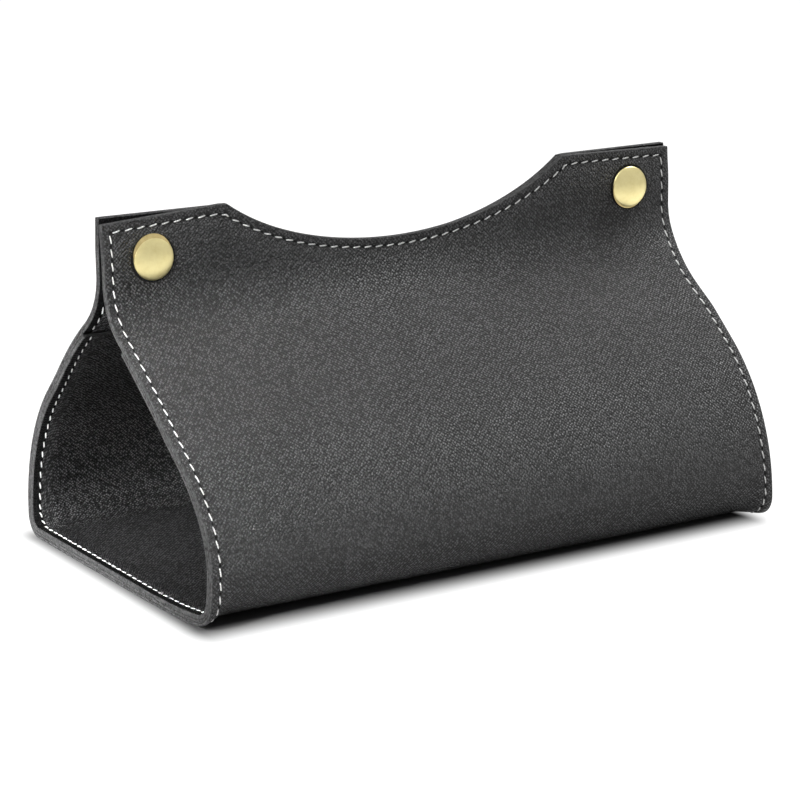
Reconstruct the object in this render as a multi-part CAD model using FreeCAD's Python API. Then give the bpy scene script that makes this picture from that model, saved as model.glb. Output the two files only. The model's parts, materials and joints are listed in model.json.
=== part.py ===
"""Tissue box holder: a leather sheet folded round a pack of tissues and closed by two press studs.

The sheet is a flat base, two folds and two ogee walls. The upright strips along the tops of the walls
meet over the pack, and a long notch in both leaves the tissue free to be pulled out between them.
X runs along the folds, Y from the front wall to the back wall and Z up, in millimetres.
The origin is the middle of the underside, on the table.
"""
import FreeCAD
import Part
import math
import os

# The folded sheet, measured on its outer face
BASE_LENGTH = 240.0
TOP_LENGTH = 242.0
HEIGHT = 132.0
HALF_FLAT = 63.1
FOLD_RADIUS = 8.0
FOLD_TURN = math.radians(91.0)
WALL_STRAIGHT = 44.0
WAIST_RADIUS = 22.3
MOUTH_GAP = 2.2

# The plies: leather outside, a backing all over it, and a lining that stops part way up the walls
LEATHER = 1.2
BACKING = 1.1
LINING = 1.6
GLUE_LINE = 0.05
FOLD_GAP = 0.2
LINING_TOP_SHARE = 0.9

# The notch in the top edges, an arc of an ellipse
NOTCH_WIDTH = 144.0
NOTCH_DEPTH = 20.0
NOTCH_REACH_SHARE = 0.8
CORNER_RADIUS = 1.5

# Press studs: where they sit, and the turned and pressed brass pieces
STUD_INSET = 19.0
STUD_DROP = 14.5
STUD_SEAT = 0.03
STUD_PLAY = 0.6
SHEET_BRASS = 0.3
TUBE_RADIUS = 1.6
TUBE_WALL = 0.35
TUBE_CLEARANCE = 0.1
FLARE_REACH = 0.35
CAP_DIAMETER = 15.6
CAP_RISE = 2.8
CAP_RIM = 0.9
CAP_LIP = 1.6
CAP_MARGIN = 0.2
CAP_STEPS = 3
SOCKET_DIAMETER = 11.6
SOCKET_DEPTH = 1.45
SPRING_WIRE = 0.5
SPRING_SIDES = 6
SPRING_SPLIT = math.radians(40.0)
STUD_FLANGE_DIAMETER = 10.4
STUD_NECK_RADIUS = 2.3
STUD_HEAD_RADIUS = 2.5
STUD_HEIGHT = 1.45
EYELET_DIAMETER = 9.4
EYELET_RISE = 0.7

# Every cutting shape runs past what it cuts by this much
OVERRUN = 5.0

# Ply faces, as depths below the outer face
BACKING_TOP = LEATHER + GLUE_LINE
BACKING_FLOOR = BACKING_TOP + BACKING
LINING_TOP = BACKING_FLOOR + GLUE_LINE
LINING_FLOOR = LINING_TOP + LINING

# The outer face of an upright strip, and how far down the strip is flat: to just below the caps
STRIP_FACE = MOUTH_GAP / 2 + BACKING_FLOOR
STRIP_HEIGHT = STUD_DROP + CAP_DIAMETER / 2 + CAP_MARGIN
HOLE_RADIUS = TUBE_RADIUS + TUBE_CLEARANCE

# The ogee: the bulge leaves the fold smoothly and its radius follows from where the waist has to be
FOLD_TOP_Y = HALF_FLAT + FOLD_RADIUS * math.sin(FOLD_TURN)
FOLD_TOP_Z = FOLD_RADIUS - FOLD_RADIUS * math.cos(FOLD_TURN)
OUT_Y = math.sin(FOLD_TURN)
OUT_Z = -math.cos(FOLD_TURN)
WAIST_Y = STRIP_FACE + WAIST_RADIUS
WAIST_Z = HEIGHT - STRIP_HEIGHT
SPAN_Y = WAIST_Y - FOLD_TOP_Y
SPAN_Z = WAIST_Z - FOLD_TOP_Z
SPAN_OUT = SPAN_Y * OUT_Y + SPAN_Z * OUT_Z
SPAN_SQUARE = SPAN_Y ** 2 + SPAN_Z ** 2
BULGE_RADIUS = (SPAN_SQUARE - WAIST_RADIUS ** 2 - WALL_STRAIGHT ** 2) / (2 * (WAIST_RADIUS - SPAN_OUT))
BULGE_Y = FOLD_TOP_Y - BULGE_RADIUS * OUT_Y
BULGE_Z = FOLD_TOP_Z - BULGE_RADIUS * OUT_Z
LEAN = (math.atan2(WAIST_Z - BULGE_Z, WAIST_Y - BULGE_Y)
        - math.atan2(WALL_STRAIGHT, BULGE_RADIUS + WAIST_RADIUS))


def on_circle(centre_y, centre_z, radius, angle):
    """A point in the cross-section, at an angle measured from +Y towards +Z."""
    return FreeCAD.Vector(0, centre_y + radius * math.cos(angle), centre_z + radius * math.sin(angle))


def arc(centre_y, centre_z, radius, first, last):
    """An arc of the cross-section between two angles."""
    angles = (first, (first + last) / 2, last)
    return Part.Arc(*[on_circle(centre_y, centre_z, radius, angle) for angle in angles]).toShape()


def closed_face(edges):
    """The face inside a ring of edges given in any order."""
    return Part.Face(Part.Wire(Part.__sortEdges__(edges)))


def fold_arc(depth):
    """The back fold at a depth below the outer face."""
    quarter = math.pi / 2
    return arc(HALF_FLAT, FOLD_RADIUS, FOLD_RADIUS - depth, -quarter, FOLD_TURN - quarter)


def wall_start():
    """The angle on the bulge where the wall begins, a gap above the fold."""
    return FOLD_TURN - math.pi / 2 + FOLD_GAP / BULGE_RADIUS


def straight_point(depth, share):
    """A point on the wall's straight part, at a share of the way up it."""
    foot = on_circle(BULGE_Y, BULGE_Z, BULGE_RADIUS - depth, LEAN)
    head = on_circle(WAIST_Y, WAIST_Z, WAIST_RADIUS + depth, LEAN + math.pi)
    return foot + (head - foot) * share


def wall_edges(depth, straight_share):
    """The back wall's line at a depth, up to a share of its straight part, or to the top for 1."""
    foot = straight_point(depth, 0)
    head = straight_point(depth, straight_share)
    edges = [arc(BULGE_Y, BULGE_Z, BULGE_RADIUS - depth, wall_start(), LEAN), Part.makeLine(foot, head)]
    if straight_share < 1:
        return edges, head
    face = STRIP_FACE - depth
    top = FreeCAD.Vector(0, face, HEIGHT)
    edges.append(arc(WAIST_Y, WAIST_Z, WAIST_RADIUS + depth, LEAN + math.pi, math.pi))
    edges.append(Part.makeLine(FreeCAD.Vector(0, face, WAIST_Z), top))
    return edges, top


def wall_section(outer, inner, straight_share=1):
    """The cross-section of one ply of the back wall, between two depths."""
    outer_edges, outer_end = wall_edges(outer, straight_share)
    inner_edges, inner_end = wall_edges(inner, straight_share)
    start = wall_start()
    foot = Part.makeLine(on_circle(BULGE_Y, BULGE_Z, BULGE_RADIUS - outer, start),
                         on_circle(BULGE_Y, BULGE_Z, BULGE_RADIUS - inner, start))
    return closed_face(outer_edges + inner_edges + [foot, Part.makeLine(outer_end, inner_end)])


def base_section(outer, inner):
    """The cross-section of one ply of the base, with both its folds."""
    edges = []
    end_angle = FOLD_TURN - math.pi / 2
    for depth in (outer, inner):
        fold = fold_arc(depth)
        edges += [fold, fold.mirror(FreeCAD.Vector(), FreeCAD.Vector(0, 1, 0))]
        edges.append(Part.makeLine(FreeCAD.Vector(0, -HALF_FLAT, depth), FreeCAD.Vector(0, HALF_FLAT, depth)))
    end = Part.makeLine(on_circle(HALF_FLAT, FOLD_RADIUS, FOLD_RADIUS - outer, end_angle),
                        on_circle(HALF_FLAT, FOLD_RADIUS, FOLD_RADIUS - inner, end_angle))
    return closed_face(edges + [end, end.mirror(FreeCAD.Vector(), FreeCAD.Vector(0, 1, 0))])


def front_outline():
    """The outline that the sheet's ends and top edges are cut to, seen from the front, as a prism along Y."""
    flare = (TOP_LENGTH - BASE_LENGTH) / 2 / HEIGHT
    half_bottom = BASE_LENGTH / 2 - flare * OVERRUN
    half_top = TOP_LENGTH / 2
    reach = FOLD_TOP_Y + FOLD_RADIUS + OVERRUN
    corners = [(-half_bottom, -OVERRUN), (half_bottom, -OVERRUN), (half_top, HEIGHT), (-half_top, HEIGHT)]
    ring = [FreeCAD.Vector(x, -reach, z) for x, z in corners]
    prism = Part.Face(Part.makePolygon(ring + ring[:1])).extrude(FreeCAD.Vector(0, 2 * reach, 0))
    prism = prism.cut(notch_cutter(reach))
    cut_corners = (half_top, NOTCH_WIDTH / 2)
    sharp = []
    for edge in prism.Edges:
        middle = edge.CenterOfMass
        at_top = abs(middle.z - HEIGHT) < CORNER_RADIUS / 2 and abs(middle.y) < CORNER_RADIUS / 2
        if at_top and min(abs(abs(middle.x) - x) for x in cut_corners) < CORNER_RADIUS / 2:
            sharp.append(edge)
    return prism.makeFillet(CORNER_RADIUS, sharp)


def notch_cutter(reach):
    """The elliptical cylinder that cuts the notch through both top edges."""
    half_long = NOTCH_WIDTH / 2 / NOTCH_REACH_SHARE
    rise_share = math.sqrt(1 - NOTCH_REACH_SHARE ** 2)
    half_short = NOTCH_DEPTH / (1 - rise_share)
    ellipse = Part.Ellipse(FreeCAD.Vector(), half_long, half_short).toShape()
    face = Part.Face(Part.Wire(ellipse))
    face.rotate(FreeCAD.Vector(), FreeCAD.Vector(1, 0, 0), 90)
    face.translate(FreeCAD.Vector(0, reach + OVERRUN, HEIGHT + rise_share * half_short))
    return face.extrude(FreeCAD.Vector(0, -2 * (reach + OVERRUN), 0))


def stud_places():
    """The two press studs: a side's name and its place along the strip."""
    across = TOP_LENGTH / 2 - STUD_INSET
    return (("left", -across), ("right", across))


def sheet(section, outline, holes=False):
    """One ply: its section run along the folds, trimmed to the outline and punched for the press studs."""
    reach = TOP_LENGTH / 2 + OVERRUN
    section.translate(FreeCAD.Vector(-reach, 0, 0))
    ply = section.extrude(FreeCAD.Vector(2 * reach, 0, 0)).common(outline)
    if holes:
        for _, x in stud_places():
            foot = FreeCAD.Vector(x, -OVERRUN, HEIGHT - STUD_DROP)
            ply = ply.cut(Part.makeCylinder(HOLE_RADIUS, 2 * OVERRUN, foot, FreeCAD.Vector(0, 1, 0)))
    return ply.Solids[0]


def turned(points, x, face, direction):
    """A solid of revolution about a press stud's axis, from (radius, height above a strip's face) points."""
    ring = [FreeCAD.Vector(radius, face + direction * height, 0) for radius, height in points]
    section = Part.Face(Part.makePolygon(ring + ring[:1]))
    solid = section.revolve(FreeCAD.Vector(), FreeCAD.Vector(0, 1, 0), 360)
    solid.translate(FreeCAD.Vector(x, 0, HEIGHT - STUD_DROP))
    return solid


def dome(radius, rim, crown):
    """Points up from a dome's rim in even turns, on a ball with this crown, then level in to the axis."""
    rise = crown - rim
    ball = (radius ** 2 + rise ** 2) / (2 * rise)
    spread = math.asin(radius / ball)
    angles = [spread * (1 - step / CAP_STEPS) for step in range(CAP_STEPS)]
    points = [(ball * math.sin(angle), crown - ball + ball * math.cos(angle)) for angle in angles]
    return points + [(0, points[-1][1])]


def post_plate():
    """The foot and the top of the plate held in a cap, as heights above the strip."""
    foot = 2 * STUD_SEAT + SHEET_BRASS
    return foot, foot + SHEET_BRASS


def snap_cap(x):
    """The domed cap on the front, closed by the post's plate, with its rim turned in under the plate."""
    radius = CAP_DIAMETER / 2
    inside = radius - SHEET_BRASS
    lip = radius - CAP_LIP
    ceiling = post_plate()[1] + STUD_SEAT
    lip_top = STUD_SEAT + SHEET_BRASS
    hollow = [(0, ceiling), (inside, ceiling), (inside, lip_top)]
    turned_in = [(lip, lip_top), (lip, STUD_SEAT), (radius, STUD_SEAT)]
    return turned(dome(radius, CAP_RIM, CAP_RISE) + hollow + turned_in, x, -STRIP_FACE, -1)


def cap_post(x):
    """The plate held in the cap's rim, with the tube that runs through the front strip into the socket."""
    plate = CAP_DIAMETER / 2 - SHEET_BRASS - TUBE_CLEARANCE
    plate_foot, plate_top = post_plate()
    flare_top = -(BACKING_FLOOR + 2 * STUD_SEAT + SHEET_BRASS)
    end = flare_top - TUBE_WALL
    points = [(plate, plate_foot), (plate, plate_top), (0, plate_top), (0, plate_foot),
              (TUBE_RADIUS - TUBE_WALL, plate_foot), (TUBE_RADIUS - TUBE_WALL, end),
              (TUBE_RADIUS + FLARE_REACH, end), (TUBE_RADIUS + FLARE_REACH, flare_top),
              (TUBE_RADIUS, flare_top), (TUBE_RADIUS, plate_foot)]
    return turned(points, x, -STRIP_FACE, -1)


def socket_mouth():
    """The radius of the socket's mouth, clear of the stud's head as the wall swings away."""
    return STUD_HEAD_RADIUS + STUD_PLAY


def snap_socket(x):
    """The socket on the front strip's inner face: a cup with its rim turned in over the spring."""
    radius = SOCKET_DIAMETER / 2
    floor = STUD_SEAT + SHEET_BRASS
    rim = STUD_SEAT + SOCKET_DEPTH
    points = [(HOLE_RADIUS, STUD_SEAT), (radius, STUD_SEAT), (radius, rim), (socket_mouth(), rim),
              (socket_mouth(), rim - SHEET_BRASS), (radius - SHEET_BRASS, rim - SHEET_BRASS),
              (radius - SHEET_BRASS, floor), (HOLE_RADIUS, floor)]
    return turned(points, x, -MOUTH_GAP / 2, 1)


def socket_spring(x):
    """The split wire ring under the socket's rim."""
    wire = SPRING_WIRE / 2
    rim = STUD_SEAT + SOCKET_DEPTH - SHEET_BRASS
    across = socket_mouth() + wire
    up = -MOUTH_GAP / 2 + rim - STUD_SEAT - wire
    turns = [2 * math.pi * side / SPRING_SIDES for side in range(SPRING_SIDES + 1)]
    ring = [FreeCAD.Vector(across + wire * math.cos(turn), up + wire * math.sin(turn), 0) for turn in turns]
    section = Part.Face(Part.makePolygon(ring))
    spring = section.revolve(FreeCAD.Vector(), FreeCAD.Vector(0, 1, 0), 360 - math.degrees(SPRING_SPLIT))
    spring.translate(FreeCAD.Vector(x, 0, HEIGHT - STUD_DROP))
    return spring


def snap_stud(x):
    """The stud on the back strip's inner face: a flange and a hollow boss with a rounded head."""
    flange = STUD_FLANGE_DIAMETER / 2
    floor = STUD_SEAT + SHEET_BRASS
    bore = STUD_NECK_RADIUS - SHEET_BRASS
    swell = STUD_HEAD_RADIUS - STUD_NECK_RADIUS
    top = STUD_HEIGHT
    points = [(HOLE_RADIUS, STUD_SEAT), (flange, STUD_SEAT), (flange, floor), (STUD_NECK_RADIUS, floor),
              (STUD_HEAD_RADIUS, top - 2 * swell), (STUD_NECK_RADIUS, top), (bore, top), (bore, floor),
              (HOLE_RADIUS, floor)]
    return turned(points, x, MOUTH_GAP / 2, -1)


def stud_eyelet(x):
    """The eyelet on the back: a rounded flange, and a tube through the back strip spread inside the stud."""
    radius = EYELET_DIAMETER / 2
    bore = TUBE_RADIUS - TUBE_WALL
    flare_top = -(BACKING_FLOOR + 2 * STUD_SEAT + SHEET_BRASS)
    end = flare_top - TUBE_WALL
    flare = min(TUBE_RADIUS + FLARE_REACH, STUD_NECK_RADIUS - SHEET_BRASS - TUBE_CLEARANCE)
    shoulder = EYELET_RISE / 2
    points = [(bore, end), (flare, end), (flare, flare_top), (TUBE_RADIUS, flare_top),
              (TUBE_RADIUS, STUD_SEAT), (radius, STUD_SEAT), (radius - shoulder, EYELET_RISE),
              (bore, EYELET_RISE)]
    return turned(points, x, STRIP_FACE, 1)


def leather_plies():
    """The plies of the base and of both walls, by name."""
    outline = front_outline()
    plies = {"base_outer_leather": sheet(base_section(0, LEATHER), outline),
             "base_backing": sheet(base_section(BACKING_TOP, BACKING_FLOOR), outline),
             "base_lining": sheet(base_section(LINING_TOP, LINING_FLOOR), outline)}
    back = {"outer_leather": sheet(wall_section(0, LEATHER), outline, holes=True),
            "backing": sheet(wall_section(BACKING_TOP, BACKING_FLOOR), outline, holes=True),
            "lining": sheet(wall_section(LINING_TOP, LINING_FLOOR, LINING_TOP_SHARE), outline)}
    for name, ply in back.items():
        plies["back_" + name] = ply
        plies["front_" + name] = ply.mirror(FreeCAD.Vector(), FreeCAD.Vector(0, 1, 0))
    return plies


def press_studs():
    """The pieces of both press studs, by name."""
    pieces = {}
    makers = (snap_cap, cap_post, snap_socket, socket_spring, snap_stud, stud_eyelet)
    for side, x in stud_places():
        for maker in makers:
            pieces[side + "_" + maker.__name__] = maker(x)
    return pieces


def main():
    os.makedirs("parts", exist_ok=True)
    nodes = leather_plies()
    nodes.update(press_studs())
    for name, shape in nodes.items():
        shape.exportStep("parts/" + name + ".step")
        print(name, "solids", len(shape.Solids), "valid", shape.isValid(), "mm3", round(shape.Volume, 1))
    print("hinge line y", round(FOLD_TOP_Y, 3), "z", round(FOLD_TOP_Z, 3), "bulge", round(BULGE_RADIUS, 2))


main()
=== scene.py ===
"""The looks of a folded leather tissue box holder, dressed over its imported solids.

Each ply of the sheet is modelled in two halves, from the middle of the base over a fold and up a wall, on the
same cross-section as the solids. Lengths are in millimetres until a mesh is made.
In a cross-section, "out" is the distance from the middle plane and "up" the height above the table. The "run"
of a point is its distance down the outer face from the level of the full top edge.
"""
import json
import math
import bmesh
import bpy
import numpy as np
from mathutils import Matrix, Vector


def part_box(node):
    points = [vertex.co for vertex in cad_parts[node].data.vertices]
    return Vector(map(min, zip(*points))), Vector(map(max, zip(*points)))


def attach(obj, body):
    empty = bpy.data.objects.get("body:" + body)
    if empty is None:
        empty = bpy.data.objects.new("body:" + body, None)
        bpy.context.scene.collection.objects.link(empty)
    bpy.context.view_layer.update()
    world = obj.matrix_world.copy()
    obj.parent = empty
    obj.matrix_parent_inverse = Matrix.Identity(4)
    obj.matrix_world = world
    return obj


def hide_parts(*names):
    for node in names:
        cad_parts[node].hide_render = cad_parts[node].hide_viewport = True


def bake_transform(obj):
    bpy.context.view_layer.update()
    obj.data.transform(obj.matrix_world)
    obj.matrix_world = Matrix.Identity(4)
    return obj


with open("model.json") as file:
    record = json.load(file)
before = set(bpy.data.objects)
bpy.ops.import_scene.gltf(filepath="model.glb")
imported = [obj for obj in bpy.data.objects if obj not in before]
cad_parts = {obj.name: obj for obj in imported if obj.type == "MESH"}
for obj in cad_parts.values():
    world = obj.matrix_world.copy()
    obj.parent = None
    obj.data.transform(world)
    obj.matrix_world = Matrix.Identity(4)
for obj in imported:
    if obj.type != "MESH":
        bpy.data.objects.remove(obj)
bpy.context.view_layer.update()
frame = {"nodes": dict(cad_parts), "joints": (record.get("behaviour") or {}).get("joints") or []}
MM = 0.001


def cad_box(node):
    """A node's lowest and highest corner in millimetres."""
    return [np.array(corner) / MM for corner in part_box(node)]


def cad_hinge(name):
    """A point on a hinge's axis in millimetres."""
    return np.array(next(joint for joint in frame["joints"] if joint["name"] == name)["pos_m"]) / MM


# Sizes that the frame gives
HALF_TOP = cad_box("back_outer_leather")[1][0]
HEIGHT = cad_box("back_outer_leather")[1][2]
HINGE_OUT, HINGE_UP = cad_hinge("back_fold")[1:]

# How deep the outer and the inner face of each ply lie under the sheet's outer face, as in the solids
FACES = {"outer_leather": (0.0, 1.2), "backing": (1.25, 2.35), "lining": (2.4, 4.0)}

# The cross-section, as in the solids but for a slightly longer base
HALF_BASE = 120.4
STRIP_FACE = 3.45
STRIP_HEIGHT = 22.5
WAIST_RADIUS = 22.3
WALL_STRAIGHT = 44.0
LINING_TOP_SHARE = 0.9
FOLD_TURN = math.radians(91.0)

# The fold is tight in the sewn margin and easier along the middle of the sheet
FOLD_RADIUS_END = 8.0
FOLD_RADIUS_MIDDLE = 16.0
FOLD_EASE = 9.0

# The notch in the top edges, and how far the tabs beside it stand above the full height at the left end, the
# left tip of the notch, the right tip and the right end
NOTCH_HALF = 72.0
NOTCH_DEPTH = {"front": 20.9, "back": 21.6}
NOTCH_REACH_SHARE = 0.8
NOTCH_TIP = 0.2
SEAM_TIP = 2.2
TAB_HEIGHTS = {"front": (-1.4, 0.4, 0.8, -1.1), "back": (-0.1, -1.1, 1.4, 0.9)}
CORNER_RADIUS = 0.4

# How the walls have settled: the closed top edges lean together, the front's base lifts at the left, its top
# tilts, both tops shift, and the caps drop and lean with their strip. The ends belly out or in, and one is
# drawn in along the wall: each has its end (left or right), how far, and the two shares of the climb between
# which it happens
CLOSED_LEAN = 0.95
LEAN_RUN = 14.0
LIFT = 2.0
LIFT_END = 60.0
LIFT_SHARE = 0.6
LIFT_POWER = 4
TILT = 0.0076
TOP_SHIFT = 0.5
CAP_DROP = {"left": 0.7, "right": 0.0}
CAP_LEAN = 0.03
BELLY_START = 55.0
BELLIES = {"front": ((-1, 3.6, 0.28, 0.8), (-1, 0.9, 0.0, 0.3), (1, -2.8, 0.56, 0.78)),
           "back": ((-1, 3.5, 0.45, 0.88),)}
DRAWN_IN = (-1, 3.2, 0.0, 0.48)
SWELL_POWER = 1.5

# Cut edges and sewing
RIM = 0.42
RIM_STEPS = 3
END_INSET = 3.3
TOP_INSET = 3.15
SEAM_GROOVE = 0.28
SEAM_WIDTH = 0.7
STITCH_PITCH = 4.75
STITCH_SHARE = 0.74
BASE_PITCH = 4.0
BASE_SHARE = 0.8
STITCH_SLANT = 0.28
STITCH_MARKS = 9
STITCH_RINGS = 7
SEAM_SAMPLES = 801
STITCH_SAMPLES = 8
LAP_STEP = 1.0
HOLE_LENGTH = 0.75
HOLE_WIDTH = 0.55
TABLE_GAP = 0.02

# The thread: half its width, how high it arches over and sinks into the leather, how thin it is at the holes
# and how flat it lies
THREAD_HALF_WIDTH = 0.3
THREAD_RISE = 0.3
THREAD_ARCH_SHARE = 1.25
THREAD_SINK_SHARE = 0.85
THREAD_TIP_SHARE = 0.62
THREAD_FLAT_SHARE = 0.78
THREAD_SIDES = 8

# The caps: a flat underside, a round bead and a low crown
CAP_SEAT = 0.02
CAP_UNDER = (0.9, 0.35)
CAP_BEAD = 0.5
CAP_BEAD_TURNS = (-math.pi / 2 + 0.6, math.pi / 2 - 0.5)
CAP_BEAD_STEPS = 6
CAP_CROWN_POWER = 2.4
CAP_CROWN_STEPS = 16
CAP_SIDES = 72
# How wide the painted shadow ring round each cap is, and the share of that width that is fully dark
CAP_SHADOW_RING = 0.9
CAP_SHADOW_RING_SHARE = 0.6

# The grain of the leather: cells in a metre, their disorder, their turn in degrees, the noise on them, and
# how far they and the sewing show in height, tone and roughness
GRAIN_SCALE = 980.0
GRAIN_DISORDER = 0.45
GRAIN_TURN = 45.0
FINE_SCALE_SHARE = 2.2
FINE_SHARE = 0.1
CLOUD_SCALE = 26.0
DOME_FADE = (0.15, 0.5)
# The needle holes, sunk a little and darkened with painted shade, and the painted shade along the thread's
# groove, which reaches out to the cut edge on a dark margin: the holes' fade and depth, then the groove's
# fade and darkness
HOLE_FADE = (0.5, 1.0)
HOLE_SHARE = 0.6
GROOVE_SHADE_FADE = (0.3, 0.65)
GROOVE_SHADE_SHARE = 0.85
# How pale the domes are over the painted shade of their creases, how much the cloudy tone adds, the least
# tone, and how near black the deepest painted shade in the holes gets
DOME_TONE, CLOUD_TONE, LEAST_TONE = 0.75, 0.18, 0.06
BLACK_SHARE = 0.2
DARK_STOP, LIGHT_STOP = 0.15, 0.9
CREASE_ROUGHNESS = 0.15

# The mesh of a ply
EDGE_BAND = 12.0
EDGE_LINES = 5
SEAM_LINES = 7
MIDDLE_COLUMNS = 77
SPREAD_RUN = 48.0
SPREAD_ROWS = 10
WALL_ROWS = 36
FOLD_ROWS = 14
BASE_ROWS = 16
SHARP_EDGE = math.radians(60)

# Where the floor's shadow, real and painted, starts to fade and where it has gone, to either side and to the
# front and back, how pale the floor is to the light, how much darker to the camera, a painted shadow near the
# holder, and how white in a mirror
SHADOW_X = (115.0, 124.0)
SHADOW_Y = (61.0, 83.0)
SHADOW_MIDDLE = -4.0
FLOOR_ALBEDO = 0.65
FLOOR_DIMMED = 0.48
FLOOR_MIRRORED = 0.45
FLOOR_REACH = 3000.0

# The surround's own light, how much of its white a mirror shows, and the lamps, in metres and watts
AMBIENT = 0.12
WORLD_MIRRORED = 0.55
LAMPS = {
    "right": {"place_at": (0.45, 0.05, 0.6), "size": 0.25, "power": 4.4},
    "left": {"place_at": (-0.7, -0.2, 1.0), "size": 0.6, "power": 6.0},
    "low_left": {"place_at": (-0.6, -0.22, 0.3), "size": 0.1, "power": 0.22, "aim": (-0.08, 0.05, 0.0),
                 "spread": 24.0},
    "top": {"place_at": (0.0, 0.2, 1.3), "size": 1.2, "power": 3.0},
}

# The camera, fitted to the photograph, which is taken as a square
CAMERA_TURN = math.radians(31.497)
CAMERA_LIFT = math.radians(14.874)
CAMERA_ROLL = math.radians(-0.936)
CAMERA_DISTANCE = 1092.03
CAMERA_TARGET = (0.25, 0.0, 48.671)
FOCAL_SHARE = 2936.18 / 800

# The cross-section worked out from the sizes above
WAIST_OUT = STRIP_FACE + WAIST_RADIUS
WAIST_UP = HEIGHT - STRIP_HEIGHT
FOLD_DIRECTION = np.array([math.sin(FOLD_TURN), -math.cos(FOLD_TURN)])
SPAN = np.array([WAIST_OUT - HINGE_OUT, WAIST_UP - HINGE_UP])
BULGE_RADIUS = ((SPAN @ SPAN - WAIST_RADIUS ** 2 - WALL_STRAIGHT ** 2)
                / (2 * (WAIST_RADIUS - SPAN @ FOLD_DIRECTION)))
BULGE_OUT = HINGE_OUT - BULGE_RADIUS * FOLD_DIRECTION[0]
BULGE_UP = HINGE_UP - BULGE_RADIUS * FOLD_DIRECTION[1]
LEAN = (math.atan2(WAIST_UP - BULGE_UP, WAIST_OUT - BULGE_OUT)
        - math.atan2(WALL_STRAIGHT, BULGE_RADIUS + WAIST_RADIUS))
STRAIGHT_RUN = STRIP_HEIGHT + WAIST_RADIUS * LEAN
BULGE_RUN = STRAIGHT_RUN + WALL_STRAIGHT
LAP_RUN = STRAIGHT_RUN + (1 - LINING_TOP_SHARE) * WALL_STRAIGHT
NOTCH_REACH = NOTCH_HALF / NOTCH_REACH_SHARE
NOTCH_RISE = math.sqrt(1 - NOTCH_REACH_SHARE ** 2)
SIDES = {"front": -1.0, "back": 1.0}


def ease(value):
    """From 0 to 1 with level ends, for values from 0 to 1."""
    value = np.clip(value, 0.0, 1.0)
    return value * value * (3.0 - 2.0 * value)


def half_length(up):
    """Half of the sheet's length at a height: the ends flare a little upwards."""
    return HALF_BASE + (HALF_TOP - HALF_BASE) * up / HEIGHT


def top_run(side, x, tip=NOTCH_TIP):
    """The run of the top edge, with the notch and the tabs beside it."""
    ellipse = np.sqrt(np.clip(1.0 - (x / NOTCH_REACH) ** 2, 0.0, None)) - NOTCH_RISE
    cut = NOTCH_DEPTH[side] / (1.0 - NOTCH_RISE) * ellipse
    notch = 0.5 * (cut + np.sqrt(cut * cut + tip ** 2))
    return notch - np.interp(x, (-HALF_TOP, -NOTCH_HALF, NOTCH_HALF, HALF_TOP), TAB_HEIGHTS[side])


def top_stretch(side, x):
    """How much further down the face a line runs that keeps its distance from the top edge."""
    step = 0.5
    slope = (top_run(side, x + step) - top_run(side, x - step)) / (2 * step)
    return np.sqrt(1.0 + np.clip(slope, -1.0, 1.0) ** 2)


def fold_radius(end_distance):
    """The outer radius of the fold at a distance from the sheet's end."""
    return FOLD_RADIUS_END + (FOLD_RADIUS_MIDDLE - FOLD_RADIUS_END) * ease(end_distance / FOLD_EASE)


def fold_place(radius):
    """The fold's centre, as a distance out, and how far above the horizon its upper end faces."""
    out = BULGE_OUT + np.sqrt((BULGE_RADIUS - radius) ** 2 - (radius - BULGE_UP) ** 2)
    return out, np.arctan2(radius - BULGE_UP, out - BULGE_OUT)


def fold_runs(radius):
    """The runs at which the fold starts and ends, and the run of the base's middle."""
    out, lift = fold_place(radius)
    start = BULGE_RUN + BULGE_RADIUS * (LEAN - lift)
    end = start + radius * (lift + math.pi / 2)
    return start, end, end + out


def section(run, radius):
    """Out, up and facing angle of the outer face at a run, for a fold of this radius."""
    fold_out, lift = fold_place(radius)
    fold_start, fold_end, _ = fold_runs(radius)
    waist = np.clip((run - STRIP_HEIGHT) / WAIST_RADIUS, 0.0, LEAN)
    straight = run - STRAIGHT_RUN
    bulge = LEAN - (run - BULGE_RUN) / BULGE_RADIUS
    fold = lift - (run - fold_start) / radius
    parts = [run < STRIP_HEIGHT, run < STRAIGHT_RUN, run < BULGE_RUN, run < fold_start, run < fold_end]
    straight_out = WAIST_OUT - WAIST_RADIUS * math.cos(LEAN) + straight * math.sin(LEAN)
    straight_up = WAIST_UP - WAIST_RADIUS * math.sin(LEAN) - straight * math.cos(LEAN)
    out = np.select(parts, [
        np.full_like(run, STRIP_FACE),
        WAIST_OUT - WAIST_RADIUS * np.cos(waist),
        straight_out,
        BULGE_OUT + BULGE_RADIUS * np.cos(bulge),
        fold_out + radius * np.cos(fold),
    ], fold_out - (run - fold_end))
    up = np.select(parts, [
        HEIGHT - run,
        WAIST_UP - WAIST_RADIUS * np.sin(waist),
        straight_up,
        BULGE_UP + BULGE_RADIUS * np.sin(bulge),
        radius + radius * np.sin(fold),
    ], np.zeros_like(run))
    facing = np.select(parts, [
        np.zeros_like(run), waist, np.full_like(run, LEAN), bulge, fold,
    ], np.full_like(run, -math.pi / 2))
    return out, up, facing


def seam_depth(end_distance, top_distance):
    """How deep the thread has drawn the leather in."""
    from_seam = np.minimum(end_distance - END_INSET, top_distance - TOP_INSET)
    return SEAM_GROOVE * np.exp(-(from_seam / SEAM_WIDTH) ** 2)


def swell(x, climbed, hand, amount, start, end):
    """A rounded movement near one end of a wall, between two shares of the climb from base to top."""
    rounding = np.sin(math.pi * np.clip((climbed - start) / (end - start), 0.0, 1.0)) ** SWELL_POWER
    return amount * rounding * ease((hand * x - BELLY_START) / (HALF_BASE - BELLY_START))


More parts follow.
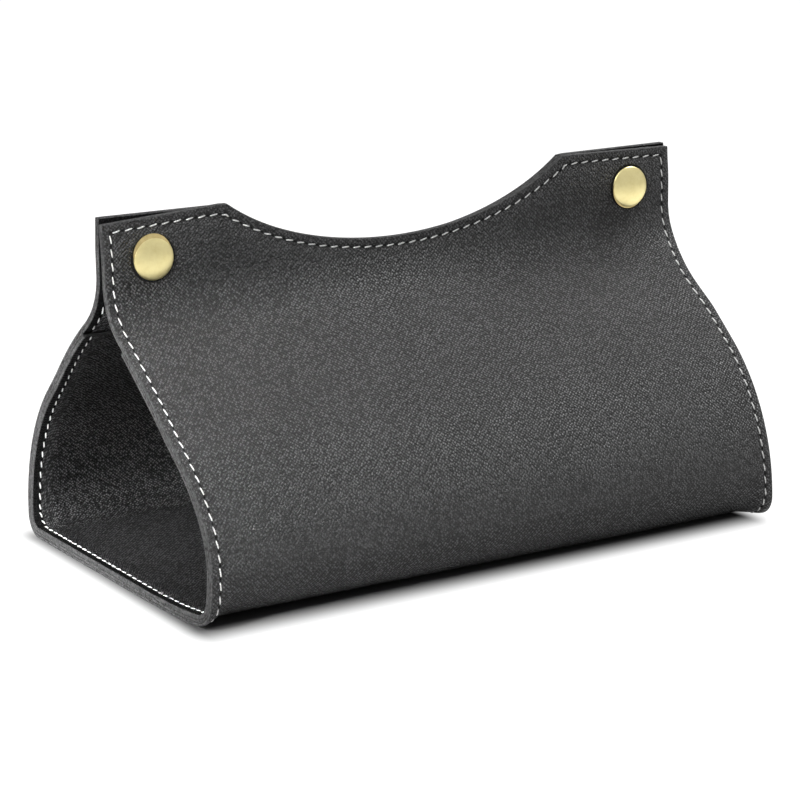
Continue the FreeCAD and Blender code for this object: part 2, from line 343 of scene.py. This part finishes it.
def settle(side, x, run, radius):
    """How far a point of a wall has moved along, out and up from the even shape."""
    _, fold_end, middle_run = fold_runs(radius)
    climbed = np.clip(1.0 - run / fold_end, 0.0, 1.0)
    out = -CLOSED_LEAN * (1.0 - ease((run - top_run(side, x)) / LEAN_RUN))
    out = out + sum(swell(x, climbed, *belly) for belly in BELLIES[side])
    if side == "back":
        return TOP_SHIFT * climbed, out, 0.0
    along_base = np.clip((middle_run - run) / (middle_run - fold_end), 0.0, 1.0)
    lifted = along_base ** LIFT_POWER * np.clip(1.0 - climbed / LIFT_SHARE, 0.0, 1.0)
    lift = LIFT * lifted * np.clip((LIFT_END - x) / (LIFT_END + HALF_BASE), 0.0, 1.0)
    return TOP_SHIFT * climbed + swell(x, climbed, *DRAWN_IN), out, lift + TILT * x * climbed


def place(side, x, run, depth, radius):
    """Points at a depth under the outer face of one half."""
    out, up, facing = section(run, radius)
    moved_along, moved_out, moved_up = settle(side, x, run, radius)
    across = SIDES[side] * (out + moved_out - depth * np.cos(facing))
    return np.stack([x + moved_along, across, up + moved_up - depth * np.sin(facing)], axis=-1)


def edge_lines(inset, seam_inset):
    """Distances from an edge at which the mesh has a line, close together across the seam."""
    outer = np.linspace(RIM, seam_inset - SEAM_WIDTH, EDGE_LINES)
    seam = np.linspace(seam_inset - SEAM_WIDTH, seam_inset + SEAM_WIDTH, SEAM_LINES)[1:]
    inner = np.linspace(seam_inset + SEAM_WIDTH, EDGE_BAND, EDGE_LINES)[1:]
    lines = np.concatenate([outer, seam, inner])
    lines[0] = inset
    return lines


def rows_between(start, end, count):
    """Rows from start towards end, without the start."""
    shares = np.linspace(0.0, 1.0, count + 1)[1:, None]
    return start + (end - start) * shares


def end_stitches(side, hand):
    """Runs on the seam down one end, at its top, at the base's start and at the base's middle, with counts.

    The counts are of the stitches from the base's middle up to each of them.
    """
    x = hand * (HALF_TOP - END_INSET)
    top = top_run(side, x) + TOP_INSET * top_stretch(side, x)
    _, base, middle = fold_runs(fold_radius(END_INSET))
    base_count = round((middle - base) / BASE_PITCH)
    return [top, base, middle], [base_count + round((base - top) / STITCH_PITCH), base_count, 0]


def top_stitches(side):
    """Places (x, run) along the seam under the top edge, their shares of its length, and its stitch count."""
    x = np.linspace(-1.0, 1.0, SEAM_SAMPLES) * (HALF_TOP - END_INSET)
    run = top_run(side, x, SEAM_TIP) + TOP_INSET * top_stretch(side, x)
    walked = np.concatenate([[0.0], np.cumsum(np.hypot(np.diff(x), np.diff(run)))])
    return x, run, walked / walked[-1], round(walked[-1] / STITCH_PITCH)


def seam_place(side, x, run, ends, tops):
    """Stitches counted along the nearest seam, and the distance from it."""
    seam_x, _, walked, count = top_stitches(side)
    along_end = np.where(x < 0, *(np.interp(run, *end_stitches(side, hand)) for hand in (-1, 1)))
    along_top = np.interp(x, seam_x, walked) * count
    from_end, from_top = ends - END_INSET, tops - TOP_INSET
    along = np.where(from_end <= from_top, along_end, along_top)
    return np.stack([along, np.minimum(from_end, from_top)], axis=-1)


def ply_grid(side, node, inset, depth, groove=0.0):
    """Points of a ply's face in rows down from its top edge, with their plan (x, run) and seam coordinates.

    The grid ends at an inset from the cut edges. A groove of 1 draws the face in along the seam. The back
    half's plan goes on from the front half's at the base's middle, so that the grain doesn't mirror there.
    """
    lines = edge_lines(inset, END_INSET)
    middle = np.linspace(-1.0, 1.0, MIDDLE_COLUMNS)[1:-1]
    share = np.concatenate([-np.ones_like(lines), middle, np.ones_like(lines)])
    shift = np.concatenate([lines - EDGE_BAND, np.zeros_like(middle), EDGE_BAND - lines[::-1]])
    top_x = share * (HALF_TOP - EDGE_BAND) + shift
    end_distance = HALF_TOP - np.abs(top_x)
    radius = fold_radius(end_distance)
    lined = node == "lining"
    top = np.full_like(top_x, LAP_RUN) if lined else top_run(side, top_x)
    stretch = np.ones_like(top_x) if lined else top_stretch(side, top_x)
    spread = LAP_RUN + 2 * EDGE_BAND if lined else SPREAD_RUN
    fold_start, fold_end, middle_run = fold_runs(radius)
    run = np.concatenate([
        top + edge_lines(inset, TOP_INSET)[:, None] * stretch,
        rows_between(top + EDGE_BAND * stretch, spread, SPREAD_ROWS),
        rows_between(spread, fold_start, WALL_ROWS),
        rows_between(fold_start, fold_end, FOLD_ROWS),
        rows_between(fold_end, middle_run, BASE_ROWS),
    ])
    top_distance = (run - top) / stretch
    ends, tops = round_corner(np.broadcast_to(end_distance, run.shape), top_distance)
    run = top + tops * stretch
    radius = np.broadcast_to(radius, run.shape)
    up = section(run, radius)[1]
    x = np.sign(top_x) * (half_length(up) - ends)
    inner = share * (half_length(up) - EDGE_BAND) + shift
    x = np.where(end_distance < EDGE_BAND, x, inner)
    seam_tops = np.full_like(tops, np.inf) if lined else (run - top_run(side, top_x, SEAM_TIP)) / stretch
    points = place(side, x, run, depth + groove * seam_depth(ends, seam_tops), radius)
    plan_run = run if side == "front" else 2 * middle_run - run
    return points, np.stack([x, plan_run], axis=-1), seam_place(side, x, run, ends, seam_tops)


def round_corner(ends, tops):
    """Draws the points of a square corner in to a round one."""
    a = np.clip(CORNER_RADIUS - ends, 0.0, None)
    b = np.clip(CORNER_RADIUS - tops, 0.0, None)
    reach = np.maximum(a, b)
    length = np.hypot(a, b)
    scale = np.where((a > 0) & (b > 0), reach / np.maximum(length, 1e-9), 1.0)
    return ends + a * (1 - scale), tops + b * (1 - scale)


def rim_loops(upper, lower):
    """Insets and depths of the lines round a ply's rounded cut edge."""
    turns = np.linspace(0.0, math.pi / 2, RIM_STEPS + 1)[1:]
    first = [(RIM * (1 - math.sin(t)), upper + RIM * (1 - math.cos(t))) for t in turns]
    last = [(RIM * (1 - math.cos(t)), lower - RIM * (1 - math.sin(t))) for t in [0.0, *turns[:-1]]]
    return first + last


def outline(rows, columns):
    """Grid indices up one end, along the top and down the other end."""
    index = np.arange(rows * columns).reshape(rows, columns)
    return np.concatenate([index[::-1, 0], index[0, 1:-1], index[:, -1]])


def strips(loop_a, loop_b):
    """Four-sided faces between two lines of vertices."""
    return np.stack([loop_a[:-1], loop_a[1:], loop_b[1:], loop_b[:-1]], axis=-1)


def add_coordinates(mesh, name, values):
    """A named set of surface coordinates, from one pair of values for each vertex."""
    corners = np.empty(len(mesh.loops), dtype=np.int32)
    mesh.loops.foreach_get("vertex_index", corners)
    mesh.uv_layers.new(name=name).data.foreach_set("uv", values[corners].astype(np.float32).ravel())


def new_piece(name, points, faces, materials, coordinates=None, face_materials=None):
    """A mesh object from points in millimetres, smooth except at sharp edges."""
    mesh = bpy.data.meshes.new(name)
    mesh.from_pydata((points * MM).tolist(), [], [list(map(int, face)) for face in faces])
    for material in materials:
        mesh.materials.append(material)
    if face_materials is not None:
        mesh.polygons.foreach_set("material_index", np.asarray(face_materials, dtype=np.int32))
    for layer, values in (coordinates or {}).items():
        add_coordinates(mesh, layer, values)
    shape = bmesh.new()
    shape.from_mesh(mesh)
    bmesh.ops.recalc_face_normals(shape, faces=shape.faces)
    for face in shape.faces:
        face.smooth = True
    for edge in shape.edges:
        edge.smooth = edge.calc_face_angle(0.0) < SHARP_EDGE
    shape.to_mesh(mesh)
    shape.free()
    piece = bpy.data.objects.new(name, mesh)
    bpy.context.scene.collection.objects.link(piece)
    return piece


def bend_with(piece):
    """Bakes a piece's placement into its mesh."""
    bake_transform(piece)


def make_ply(side, node, materials):
    """One half of one ply, from the base's middle to its top edge, as a closed mesh.

    Its materials are those of its faces, of the cut ends and of the top edge.
    """
    upper, lower = FACES[node]
    outer_groove = 1.0 if node == "outer_leather" else 0.0
    inner_groove = 0.0 if node == "outer_leather" else -1.0
    grids = [ply_grid(side, node, RIM, upper, outer_groove), ply_grid(side, node, RIM, lower, inner_groove)]
    rows, columns = grids[0][0].shape[:2]
    size = rows * columns
    border = outline(rows, columns)
    points, plans, seams = ([grid[part].reshape(size, -1) for grid in grids] for part in range(3))
    lines = [border]
    for inset, depth in rim_loops(upper, lower):
        grid, plan, seam = (part.reshape(size, -1)[border] for part in ply_grid(side, node, inset, depth))
        lines.append(sum(map(len, points)) + np.arange(len(border)))
        points.append(grid)
        plans.append(plan + (0.0, depth))
        seams.append(seam)
    lines.append(size + border)
    index = np.arange(size).reshape(rows, columns)
    cells = np.concatenate([strips(index[row], index[row + 1]) for row in range(rows - 1)])
    rims = np.concatenate([strips(a, b) for a, b in zip(lines, lines[1:])])
    middle = np.concatenate([index[-1], [line[-1] for line in lines[1:-1]], size + index[-1, ::-1],
                             [line[0] for line in lines[-2:0:-1]]])
    faces = [*cells, *(cells + size), *rims, middle]
    around = [1] * (rows - 1) + [2] * (columns - 1) + [1] * (rows - 1)
    face_materials = [0] * (2 * len(cells)) + around * (len(lines) - 1) + [1]
    coordinates = {"plan": np.concatenate(plans) * MM, "seam": np.concatenate(seams)}
    piece = new_piece(f"{side}_half_{node}", np.concatenate(points), faces, materials, coordinates,
                      face_materials)
    bend_with(piece)
    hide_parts(f"base_{node}", f"{side}_{node}")
    return piece


def seam_lines(side):
    """The seam as three lines of (x, run): along the top, down the left end and down the right end.

    Each comes with its number of stitches and how many of them lie on the base.
    """
    x, run, walked, count = top_stitches(side)
    even = np.linspace(0.0, 1.0, STITCH_SAMPLES * count + 1)
    lines = [(np.stack([np.interp(even, walked, x), np.interp(even, walked, run)], axis=-1), count, 0)]
    for hand in (-1, 1):
        runs, counts = end_stitches(side, hand)
        marks = np.linspace(0, counts[0], STITCH_SAMPLES * counts[0] + 1)
        end_run = np.interp(marks, counts[::-1], runs[::-1])
        up = section(end_run, np.full_like(end_run, float(fold_radius(END_INSET))))[1]
        end_x = hand * (half_length(up) - END_INSET)
        lines.append((np.stack([end_x, end_run], axis=-1), counts[0], counts[1]))
    return lines


def seam_surface(side, line, inside):
    """Points and outward directions along a seam line, on the outer or the inner face."""
    x, run = line.T
    radius = np.full_like(run, float(fold_radius(END_INSET)))
    if inside:
        lined = ease((run - LAP_RUN) / LAP_STEP + 0.5)
        depth = FACES["backing"][1] + (FACES["lining"][1] - FACES["backing"][1]) * lined - SEAM_GROOVE
    else:
        depth = np.full_like(run, SEAM_GROOVE)
    points = place(side, x, run, depth, radius)
    above = place(side, x, run, depth - 1.0, radius) - points
    return points, -above if inside else above


def ring_faces(first, rings, around):
    """Four-sided faces between rings of vertices, numbered on from the first."""
    faces = []
    for low in range(first, first + (rings - 1) * around, around):
        for corner in range(around):
            after = (corner + 1) % around
            faces.append((low + corner, low + after, low + around + after, low + around + corner))
    return faces


def stitch_mesh(points, outward, vertices, faces):
    """Adds one thread, bent over the leather from hole to hole, to the lists."""
    tangent = np.gradient(points, axis=0)
    tangent /= np.linalg.norm(tangent, axis=1)[:, None]
    sideways = np.cross(tangent, outward)
    first = len(vertices)
    for step in range(STITCH_RINGS):
        share = step / (STITCH_RINGS - 1)
        at = share * (len(points) - 1)
        base, out, across = (np.array([np.interp(at, np.arange(len(points)), column) for column in rows.T])
                             for rows in (points, outward, sideways))
        arch = math.sin(math.pi * share) ** 0.5
        lift = THREAD_RISE * (THREAD_ARCH_SHARE * arch - THREAD_SINK_SHARE)
        slant = STITCH_SLANT * (1 - 2 * share)
        width = THREAD_HALF_WIDTH * (THREAD_TIP_SHARE + (1 - THREAD_TIP_SHARE) * arch)
        height = THREAD_FLAT_SHARE * width
        for corner in range(THREAD_SIDES):
            turn = 2 * math.pi * corner / THREAD_SIDES
            aside = across * (slant + width * math.cos(turn))
            vertices.append(base + aside + out * (lift + height * math.sin(turn)))
    faces += ring_faces(first, STITCH_RINGS, THREAD_SIDES)
    faces.append([first + corner for corner in range(THREAD_SIDES)][::-1])
    faces.append([first + (STITCH_RINGS - 1) * THREAD_SIDES + corner for corner in range(THREAD_SIDES)])


def make_stitches(side, inside, material):
    """The thread on one face of one half, from needle hole to needle hole."""
    vertices, faces = [], []
    for line, count, on_base in seam_lines(side):
        points, outward = seam_surface(side, line, inside)
        places = np.linspace(0.0, count, len(points))
        for number in range(count):
            share = BASE_SHARE if number < on_base else STITCH_SHARE
            marks = number + 0.5 + share * np.linspace(-0.5, 0.5, STITCH_MARKS)
            stitch = np.stack([np.interp(marks, places, column) for column in points.T], axis=-1)
            out = np.stack([np.interp(marks, places, column) for column in outward.T], axis=-1)
            stitch_mesh(stitch, out / np.linalg.norm(out, axis=1)[:, None], vertices, faces)
    threads = np.array(vertices)
    threads[:, 2] = np.maximum(threads[:, 2], TABLE_GAP)
    face = "inner" if inside else "outer"
    piece = new_piece(f"{side}_{face}_stitches", threads, faces, [material])
    bend_with(piece)
    return piece


def cap_profile(radius, rise):
    """Distances from the cap's axis and heights off the leather, from its underside to the crown's middle."""
    profile = [(radius - inset, CAP_SEAT) for inset in CAP_UNDER]
    profile += [(radius - CAP_BEAD + CAP_BEAD * math.cos(turn), CAP_BEAD + CAP_BEAD * math.sin(turn))
                for turn in np.linspace(*CAP_BEAD_TURNS, CAP_BEAD_STEPS)]
    crown, edge = profile[-1]
    for share in np.linspace(1.0, 0.0, CAP_CROWN_STEPS)[1:]:
        profile.append((crown * share, edge + (rise - edge) * (1 - share ** CAP_CROWN_POWER)))
    return profile


def make_cap(hand, material):
    """The smooth domed cap of a press stud, turned about its axis."""
    low, high = cad_box(f"{hand}_snap_cap")
    centre = (low + high) / 2
    centre += (TOP_SHIFT, 0.0, TILT * centre[0] - CAP_DROP[hand])
    radius = (high[0] - low[0]) / 2
    face = -STRIP_FACE
    profile = cap_profile(radius, face - low[1])
    vertices = []
    for reach, lift in profile[:-1]:
        for corner in range(CAP_SIDES):
            turn = 2 * math.pi * corner / CAP_SIDES
            above = reach * math.sin(turn)
            inward = CAP_LEAN * (radius + above)
            vertices.append((centre[0] + reach * math.cos(turn), face - lift + inward, centre[2] + above))
    tip = len(vertices)
    vertices.append((centre[0], face - profile[-1][1] + CAP_LEAN * radius, centre[2]))
    last = tip - CAP_SIDES
    faces = ring_faces(0, len(profile) - 1, CAP_SIDES)
    faces += [(last + corner, last + (corner + 1) % CAP_SIDES, tip) for corner in range(CAP_SIDES)]
    faces.append([corner for corner in range(CAP_SIDES)])
    piece = new_piece(f"{hand}_gold_cap", np.array(vertices), faces, [material])
    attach(piece, "front_wall")
    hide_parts(f"{hand}_snap_cap")
    return piece


class Nodes:
    """Short calls to fill the node tree of a material or of the world."""

    def __init__(self, name, kind=bpy.data.materials, shader="Principled BSDF"):
        self.material = kind.new(name)
        self.material.use_nodes = True
        self.tree = self.material.node_tree
        self.shader = self.tree.nodes[shader]

    def add(self, kind, **settings):
        """A new node, with its sockets or its own settings set by name."""
        node = self.tree.nodes.new(kind)
        for key, value in settings.items():
            if key in node.inputs:
                node.inputs[key].default_value = value
            else:
                setattr(node, key, value)
        return node

    def link(self, source, target):
        """Joins two sockets."""
        self.tree.links.new(source, target)

    def feed(self, source, name):
        """Joins a socket to one of the shader's."""
        self.link(source, self.shader.inputs[name])

    def set(self, **values):
        """Sets sockets of the shader, with an underscore for each space in their names."""
        for key, value in values.items():
            self.shader.inputs[key.replace("_", " ")].default_value = value


def math_node(nodes, operation, *inputs):
    """The result of one sum on sockets and numbers."""
    node = nodes.add("ShaderNodeMath", operation=operation)
    for place_in_list, value in enumerate(inputs):
        if isinstance(value, (int, float)):
            node.inputs[place_in_list].default_value = value
        else:
            nodes.link(value, node.inputs[place_in_list])
    return node.outputs["Value"]


def length_node(nodes, across, along):
    """The distance that two distances at right angles make."""
    squares = [math_node(nodes, "MULTIPLY", distance, distance) for distance in (across, along)]
    return math_node(nodes, "SQRT", math_node(nodes, "ADD", *squares))


def fade(nodes, value, start, end):
    """1 below the start, 0 beyond the end, and smooth between."""
    node = nodes.add("ShaderNodeMapRange", interpolation_type="SMOOTHSTEP")
    for name, number in (("From Min", start), ("From Max", end), ("To Min", 1.0), ("To Max", 0.0)):
        node.inputs[name].default_value = number
    nodes.link(value, node.inputs["Value"])
    return node.outputs["Result"]


def between(nodes, share, low, high):
    """From the low number to the high one, as a share goes from 0 to 1."""
    node = nodes.add("ShaderNodeMapRange")
    node.inputs["To Min"].default_value = low
    node.inputs["To Max"].default_value = high
    nodes.link(share, node.inputs["Value"])
    return node.outputs["Result"]


def split(nodes, vector):
    """The X and Y of a vector."""
    node = nodes.add("ShaderNodeSeparateXYZ")
    nodes.link(vector, node.inputs["Vector"])
    return node.outputs["X"], node.outputs["Y"]


def noise(nodes, where, **settings):
    """The value of a noise texture at a place."""
    node = nodes.add("ShaderNodeTexNoise", **settings)
    nodes.link(where, node.inputs["Vector"])
    return node.outputs["Fac"]


def add_bump(nodes, height, strength, distance):
    """Tilts the surface by a height."""
    bump = nodes.add("ShaderNodeBump", Strength=strength, Distance=distance)
    nodes.link(height, bump.inputs["Height"])
    nodes.feed(bump.outputs["Normal"], "Normal")


def add_ramp(nodes, share, *stops):
    """Colours the surface by a share, through stops of place and colour."""
    ramp = nodes.add("ShaderNodeValToRGB")
    elements = ramp.color_ramp.elements
    for _ in stops[2:]:
        elements.new(0.5)
    for element, (place_on_ramp, colour) in zip(elements, stops):
        element.position = place_on_ramp
        element.color = (*colour, 1.0)
    nodes.link(share, ramp.inputs["Fac"])
    nodes.feed(ramp.outputs["Color"], "Base Color")


def needle_marks(nodes, dark_margin):
    """1 in the needle holes between stitches, and 1 along the groove that the thread draws in: masks for
    painted shade there, the holes' one also sinking them.

    With a dark margin, that line widens out to the cut edge.
    """
    stitches, aside = split(nodes, nodes.add("ShaderNodeUVMap", uv_map="seam").outputs["UV"])
    past_half = math_node(nodes, "FRACT", math_node(nodes, "ADD", stitches, 0.5))
    to_hole = math_node(nodes, "SUBTRACT", past_half, 0.5)
    along = math_node(nodes, "MULTIPLY", to_hole, STITCH_PITCH / HOLE_LENGTH)
    across = math_node(nodes, "MULTIPLY", aside, 1.0 / HOLE_WIDTH)
    beside = aside if dark_margin else math_node(nodes, "ABSOLUTE", aside)
    return fade(nodes, length_node(nodes, along, across), *HOLE_FADE), fade(nodes, beside, *GROOVE_SHADE_FADE)


def cap_shadow_and_dent(nodes, plan):
    """1 in a ring round the caps: a painted shadow round each, which also dents the leather a little."""
    low, high = cad_box("right_snap_cap")
    centre = (low + high) / 2
    radius = (high[0] - low[0]) / 2
    x, run = split(nodes, plan)
    across = math_node(nodes, "SUBTRACT", math_node(nodes, "ABSOLUTE", x), centre[0] * MM)
    at_left = math_node(nodes, "LESS_THAN", x, 0.0)
    level = math_node(nodes, "MULTIPLY_ADD", at_left, CAP_DROP["left"] * MM, (HEIGHT - centre[2]) * MM)
    distance = length_node(nodes, across, math_node(nodes, "SUBTRACT", run, level))
    return fade(nodes, distance, (radius + CAP_SHADOW_RING * CAP_SHADOW_RING_SHARE) * MM, (radius + CAP_SHADOW_RING) * MM)


def leather_shade(nodes, plan, domes, holes, groove_shade_and_margin):
    """How pale the leather is: palest on the domes, with painted shade in their creases, in the needle holes,
    along the seam groove and, where asked, round the caps.
    """
    clouds = noise(nodes, plan, Scale=CLOUD_SCALE, Detail=4.0, Roughness=0.55)
    ground = math_node(nodes, "MULTIPLY_ADD", clouds, CLOUD_TONE, LEAST_TONE)
    tone = math_node(nodes, "MULTIPLY_ADD", domes, DOME_TONE, ground)
    left_over = math_node(nodes, "SUBTRACT", 1.0, math_node(nodes, "MULTIPLY", groove_shade_and_margin, GROOVE_SHADE_SHARE))
    return math_node(nodes, "MULTIPLY", math_node(nodes, "SUBTRACT", tone, holes), left_over)


def leather(name, dark, light, roughness, specular, depth, cap_shadowed=False, dark_margin=False):
    """Fine-pebbled leather: small domed cells, with painted shade in their creases, in the needle holes and
    along the seam groove, and where asked a painted shadow round the caps.
    """
    nodes = Nodes(name)
    plan = nodes.add("ShaderNodeUVMap", uv_map="plan").outputs["UV"]
    turned = nodes.add("ShaderNodeMapping", Rotation=(0.0, 0.0, math.radians(GRAIN_TURN)))
    nodes.link(plan, turned.inputs["Vector"])
    cells = nodes.add("ShaderNodeTexVoronoi", Scale=GRAIN_SCALE, Randomness=GRAIN_DISORDER)
    nodes.link(turned.outputs["Vector"], cells.inputs["Vector"])
    from_middle = cells.outputs["Distance"]
    domes = fade(nodes, from_middle, *DOME_FADE)
    holes, groove_shade_and_margin = needle_marks(nodes, dark_margin)
    # A painted shadow round the caps, which also dents the leather a little
    if cap_shadowed:
        holes = math_node(nodes, "MAXIMUM", holes, cap_shadow_and_dent(nodes, plan))
    fine = noise(nodes, plan, Scale=GRAIN_SCALE * FINE_SCALE_SHARE, Detail=2.0, Roughness=0.6)
    creases = math_node(nodes, "MULTIPLY", from_middle, from_middle)
    pebbles = math_node(nodes, "SUBTRACT", math_node(nodes, "MULTIPLY", fine, FINE_SHARE), creases)
    height = math_node(nodes, "SUBTRACT", pebbles, math_node(nodes, "MULTIPLY", holes, HOLE_SHARE))
    add_bump(nodes, height, 1.0, depth)
    black = [part * BLACK_SHARE for part in dark]
    # The tone paints shade into the creases, the needle holes, the seam groove and round the caps
    shade = leather_shade(nodes, plan, domes, holes, groove_shade_and_margin)
    add_ramp(nodes, shade, (0.0, black), (DARK_STOP, dark), (LIGHT_STOP, light))
    shine = between(nodes, domes, roughness + CREASE_ROUGHNESS, roughness)
    nodes.feed(math_node(nodes, "MAXIMUM", shine, holes), "Roughness")
    nodes.set(Specular_IOR_Level=specular)
    return nodes.material


def mottled(name, dark, light, light_stop=0.7, **settings):
    """A material that runs between two tones with a fine noise, and that noise."""
    nodes = Nodes(name)
    mottle = noise(nodes, nodes.add("ShaderNodeTexCoord").outputs["Object"], **settings)
    add_ramp(nodes, mottle, (0.3, dark), (light_stop, light))
    return nodes, mottle


def cut_edge(name, dark, light):
    """The raw edge of leather: fibrous and dull."""
    nodes, fibres = mottled(name, dark, light, Scale=900.0, Detail=4.0, Roughness=0.7)
    add_bump(nodes, fibres, 0.8, 0.12 * MM)
    nodes.set(Roughness=0.8, Specular_IOR_Level=0.25)
    return nodes.material


def thread(name, dark, light):
    """Waxed sewing thread with a fine twist."""
    nodes, twist = mottled(name, dark, light, light_stop=0.65, Scale=2600.0, Detail=2.0)
    add_bump(nodes, twist, 0.6, 0.08 * MM)
    nodes.set(Roughness=0.6)
    return nodes.material


def metal(name, dark, light, roughness):
    """Plated or plain metal with faint rubbing marks."""
    nodes, rubbed = mottled(name, dark, light, Scale=420.0, Detail=5.0, Roughness=0.65)
    nodes.feed(between(nodes, rubbed, roughness - 0.05, roughness + 0.08), "Roughness")
    nodes.set(Metallic=1.0)
    return nodes.material


def dress_solids(finishes):
    """Gives each solid that still shows its finish, by the ending of its node's name."""
    for node, solid in frame["nodes"].items():
        for ending, material in finishes.items():
            if node.endswith(ending):
                for slot in solid.material_slots:
                    slot.link = "OBJECT"
                    slot.material = material


def seen_share(nodes, mirrored):
    """1 for rays from the camera, a share for those that mirror or pass through, and 0 for all others."""
    path = nodes.add("ShaderNodeLightPath").outputs
    through = math_node(nodes, "MAXIMUM", path["Is Glossy Ray"], path["Is Transmission Ray"])
    return math_node(nodes, "MAXIMUM", path["Is Camera Ray"], math_node(nodes, "MULTIPLY", through, mirrored))


def make_world():
    """A white surround that gives only a little light of its own."""
    nodes = Nodes("studio", bpy.data.worlds, "Background")
    bpy.context.scene.world = nodes.material
    nodes.set(Color=(1.0, 1.0, 1.0, 1.0))
    seen = seen_share(nodes, WORLD_MIRRORED)
    nodes.feed(math_node(nodes, "MULTIPLY_ADD", seen, 1.0 - AMBIENT, AMBIENT), "Strength")


def floor_lift(nodes):
    """1 on open floor and 0 close to the holder, where the floor keeps its real shadow and, darker to the
    camera, a painted one.
    """
    x, y = split(nodes, nodes.add("ShaderNodeNewGeometry").outputs["Position"])
    along = math_node(nodes, "SUBTRACT", x, SHADOW_MIDDLE * MM)
    near = [fade(nodes, math_node(nodes, "ABSOLUTE", distance), start * MM, end * MM)
            for distance, (start, end) in ((along, SHADOW_X), (y, SHADOW_Y))]
    return math_node(nodes, "SUBTRACT", 1.0, math_node(nodes, "MULTIPLY", *near))


def make_floor():
    """A pale floor, lifted to white away from the holder, that keeps its real shadow close to it and adds a
    painted one there.
    """
    mesh = bpy.data.meshes.new("floor")
    corners = [(along * FLOOR_REACH * MM, across * FLOOR_REACH * MM, 0.0)
               for along, across in ((-1, -1), (1, -1), (1, 1), (-1, 1))]
    mesh.from_pydata(corners, [], [(0, 1, 2, 3)])
    floor = bpy.data.objects.new("floor", mesh)
    bpy.context.scene.collection.objects.link(floor)
    nodes = Nodes("floor_white")
    nodes.set(Roughness=1.0, Specular_IOR_Level=0.0, Emission_Color=(1.0, 1.0, 1.0, 1.0))
    # Darker to the camera than to the light: away from the holder the lift hides it, close to it this is a
    # painted shadow
    from_camera = nodes.add("ShaderNodeLightPath").outputs["Is Camera Ray"]
    nodes.feed(math_node(nodes, "MULTIPLY_ADD", from_camera, -FLOOR_DIMMED, FLOOR_ALBEDO), "Base Color")
    seen = math_node(nodes, "MULTIPLY", seen_share(nodes, FLOOR_MIRRORED), floor_lift(nodes))
    nodes.feed(seen, "Emission Strength")
    mesh.materials.append(nodes.material)


def make_lamp(name, place_at, size, power, aim=(0.0, 0.0, 0.06), spread=180.0):
    """A soft square lamp that faces the holder."""
    lamp = bpy.data.lights.new(name, "AREA")
    lamp.shape = "SQUARE"
    lamp.size = size
    lamp.energy = power
    lamp.spread = math.radians(spread)
    stand = bpy.data.objects.new(name, lamp)
    stand.location = place_at
    stand.rotation_euler = (Vector(aim) - Vector(place_at)).to_track_quat("-Z", "Y").to_euler()
    bpy.context.scene.collection.objects.link(stand)


def make_camera():
    """The photograph's view."""
    lens = bpy.data.cameras.new("camera")
    lens.sensor_width = 36.0
    lens.lens = FOCAL_SHARE * lens.sensor_width
    lens.clip_end = 50.0
    camera = bpy.data.objects.new("camera", lens)
    target = Vector(CAMERA_TARGET) * MM
    level_reach = math.cos(CAMERA_LIFT)
    back = Vector((-math.sin(CAMERA_TURN) * level_reach, -math.cos(CAMERA_TURN) * level_reach,
                   math.sin(CAMERA_LIFT)))
    camera.location = target + back * CAMERA_DISTANCE * MM
    level = Vector((math.cos(CAMERA_TURN), -math.sin(CAMERA_TURN), 0.0))
    upward = back.cross(level)
    right = math.cos(CAMERA_ROLL) * level + math.sin(CAMERA_ROLL) * upward
    camera.rotation_euler = Matrix((right, back.cross(right), back)).transposed().to_euler()
    bpy.context.scene.collection.objects.link(camera)
    bpy.context.scene.camera = camera


def build():
    """All the visible pieces, with their materials."""
    grain = {"dark": (0.003, 0.003, 0.0031), "light": (0.112, 0.112, 0.115), "roughness": 0.3,
             "specular": 0.45, "depth": 1.1 * MM}
    outer_sides = {"front": leather("charcoal_leather_cap_shadowed", **grain, cap_shadowed=True),
                   "back": leather("charcoal_leather", **grain)}
    backing_side = leather("backing_leather", (0.02, 0.02, 0.0205), (0.16, 0.16, 0.163), roughness=0.7,
                           specular=0.05, depth=0.4 * MM, dark_margin=True)
    lining_side = leather("lining_leather", (0.004, 0.004, 0.0041), (0.1, 0.1, 0.102), roughness=0.36,
                          specular=0.14, depth=0.7 * MM, dark_margin=True)
    raw_edge = cut_edge("raw_edge", (0.003, 0.003, 0.003), (0.105, 0.105, 0.106))
    lap_edge = cut_edge("lap_edge", (0.002, 0.002, 0.002), (0.008, 0.008, 0.008))
    white_thread = thread("white_thread", (0.68, 0.68, 0.67), (0.95, 0.95, 0.94))
    gold = metal("gold_plate", (0.88, 0.76, 0.36), (0.97, 0.86, 0.45), roughness=0.34)
    brass = metal("plain_brass", (0.52, 0.4, 0.17), (0.68, 0.55, 0.26), roughness=0.28)
    steel = metal("spring_steel", (0.4, 0.4, 0.4), (0.6, 0.6, 0.6), roughness=0.25)
    for side in SIDES:
        plies = (("outer_leather", outer_sides[side], "outer_leather", raw_edge),
                 ("backing", backing_side, "backing_leather", raw_edge),
                 ("lining", lining_side, "lining_leather", lap_edge))
        for node, material, slot, top_edge in plies:
            piece = make_ply(side, node, [material, raw_edge, top_edge])
        for inside in (False, True):
            make_stitches(side, inside, white_thread)
    for hand in CAP_DROP:
        make_cap(hand, gold)
    dress_solids({"cap_post": brass, "snap_socket": brass, "socket_spring": steel, "snap_stud": brass,
                  "stud_eyelet": gold})


def stage():
    """The surround, the floor, the lamps and the camera."""
    bpy.context.scene.view_settings.view_transform = "Standard"
    make_world()
    make_floor()
    for name, lamp in LAMPS.items():
        make_lamp(name, **lamp)
    make_camera()


build()
stage()
